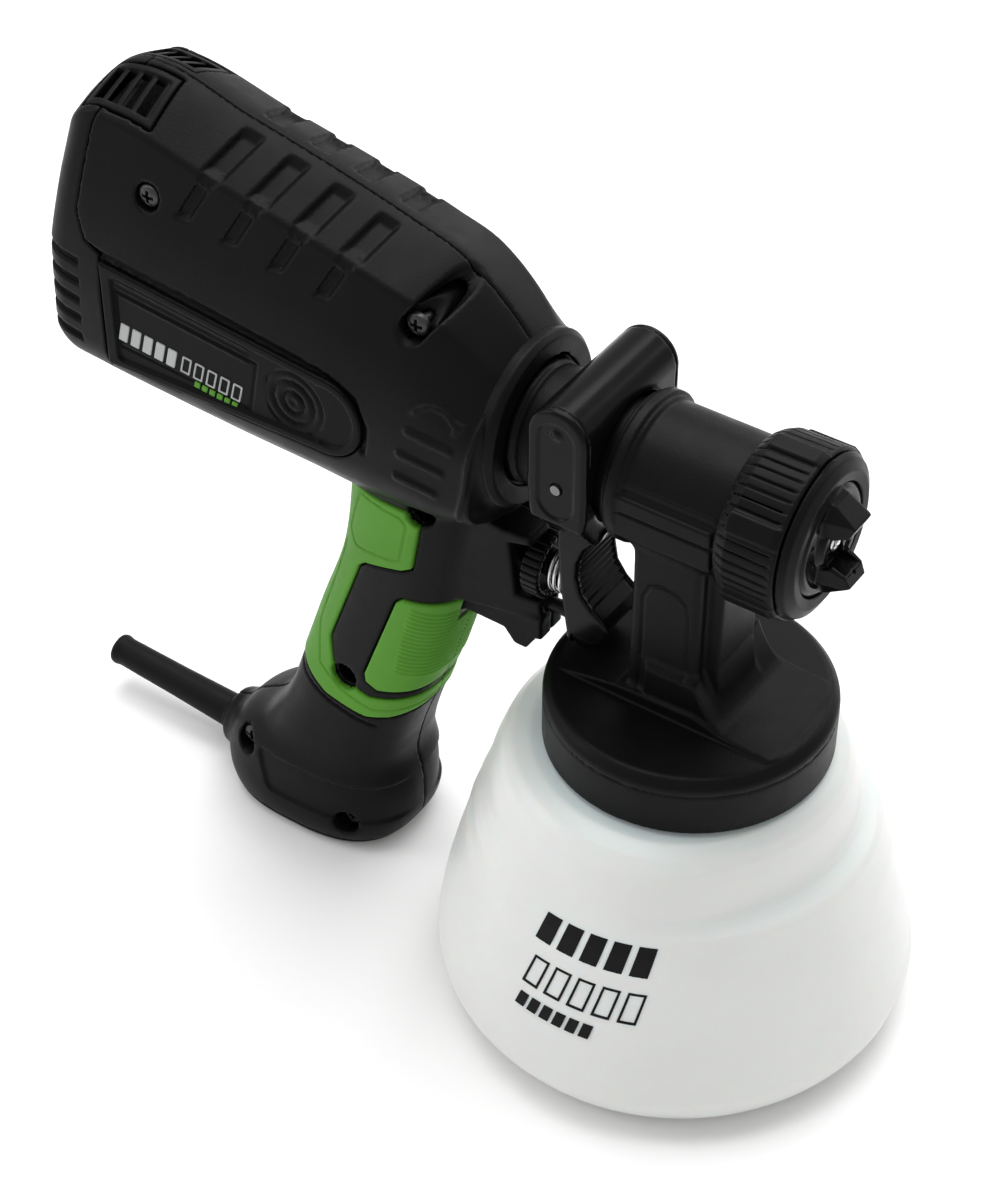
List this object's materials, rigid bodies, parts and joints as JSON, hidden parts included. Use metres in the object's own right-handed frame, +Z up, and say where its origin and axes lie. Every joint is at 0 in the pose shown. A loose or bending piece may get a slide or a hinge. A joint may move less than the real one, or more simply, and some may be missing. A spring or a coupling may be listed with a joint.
{
  "type": "electric paint spray gun",
  "caption": "Hand-held electric paint spray gun: turbine housing on a pistol handle, twist-off spray head, and a screw-on paint cup it stands on.",
  "frame": {"origin": "centre of the paint cup's flat base, on the surface the gun stands on", "axes": "+X forward along the spray, +Y to the gun's left, +Z up"},
  "size_m": [0.2862, 0.1405, 0.2474],
  "materials": {
    "shell": "fine-textured black moulded plastic",
    "panel": "black moulded plastic with a satin label field",
    "head": "black glass-filled plastic, satin",
    "gloss": "smooth black plastic",
    "grip": "green soft-touch overmould",
    "cup": "translucent white polyethylene",
    "clear_tube": "milky tube",
    "rubber": "black rubber",
    "foam": "open-cell filter foam",
    "steel": "plated steel",
    "screw": "black oxide screw",
    "alloy": "cast alloy",
    "brass": "turned brass"
  },
  "bodies": {
    "motor_unit": {"housing_right": "shell", "housing_left": "shell", "housing_screw_rear": "screw", "housing_screw_front": "screw", "grip_screw_top": "screw", "grip_screw_low": "screw", "foot_screw_rear": "screw", "foot_screw_front": "screw", "side_panel_right": "panel", "side_panel_left": "panel", "vent_grille_right": "gloss", "vent_grille_left": "gloss", "rear_cover": "shell", "air_filter": "foam", "motor_body": "steel", "rear_bearing": "steel", "front_bearing": "steel", "turbine_shroud": "shell", "bayonet_socket": "shell", "rear_grip_right": "grip", "rear_grip_left": "grip", "front_grip_right": "grip", "front_grip_left": "grip", "power_switch": "gloss", "strain_relief": "rubber", "inner_lead": "rubber"},
    "rotor": {"turbine_impeller": "alloy"},
    "plunger": {"switch_plunger": "gloss"},
    "knob": {"flow_knob": "gloss", "trigger_spring": "steel"},
    "spray_head": {"head_body": "head", "fluid_nozzle": "brass", "needle_spring": "steel", "needle_packing": "rubber", "suction_tube": "clear_tube", "tube_seal": "rubber", "trigger_axle": "steel", "cup_gasket": "rubber"},
    "trigger_lever": {"trigger": "gloss", "needle_cross_pin": "steel"},
    "needle": {"paint_needle": "steel"},
    "nut": {"nozzle_nut": "head"},
    "cap": {"air_cap": "gloss"},
    "cup": {"paint_cup": "cup"}
  },
  "joints": [
    {"name": "rotor_spin", "type": "hinge", "parent": "motor_unit", "child": "rotor", "pos_m": [-0.13, 0, 0.19], "axis": [1, 0, 0], "continuous": true},
    {"name": "head_twist", "type": "hinge", "parent": "motor_unit", "child": "spray_head", "pos_m": [-0.05, 0, 0.18], "axis": [1, 0, 0], "range_deg": [0, 25]},
    {"name": "trigger_pull", "type": "hinge", "parent": "spray_head", "child": "trigger_lever", "pos_m": [-0.031, 0, 0.199], "axis": [0, 1, 0], "range_deg": [0, 5.5], "stiffness_Nm_per_rad": 1.2, "springref_deg": -8.59, "deforming": ["trigger_spring"]},
    {"name": "needle_slide", "type": "slide", "parent": "spray_head", "child": "needle", "axis": [-1, 0, 0], "range_m": [0, 0.0019], "deforming": ["needle_spring"]},
    {"name": "plunger_press", "type": "slide", "parent": "motor_unit", "child": "plunger", "axis": [-1, 0, 0], "range_m": [0, 0.0081]},
    {"name": "knob_turn", "type": "hinge", "parent": "motor_unit", "child": "knob", "pos_m": [-0.05, 0, 0.132], "axis": [1, 0, 0], "continuous": true},
    {"name": "nut_turn", "type": "hinge", "parent": "spray_head", "child": "nut", "pos_m": [0.025, 0, 0.18], "axis": [1, 0, 0], "continuous": true},
    {"name": "air_cap_turn", "type": "hinge", "parent": "spray_head", "child": "cap", "pos_m": [0.035, 0, 0.18], "axis": [1, 0, 0], "range_deg": [0, 90]},
    {"name": "cup_unscrew", "type": "hinge", "parent": "spray_head", "child": "cup", "pos_m": [0, 0, 0.05], "axis": [0, 0, 1], "continuous": true}
  ],
  "couplings": [
    {"joint": "needle_slide", "follows": "trigger_pull", "m_per_rad": 0.019},
    {"joint": "plunger_press", "follows": "trigger_pull", "m_per_rad": 0.083}
  ]
}
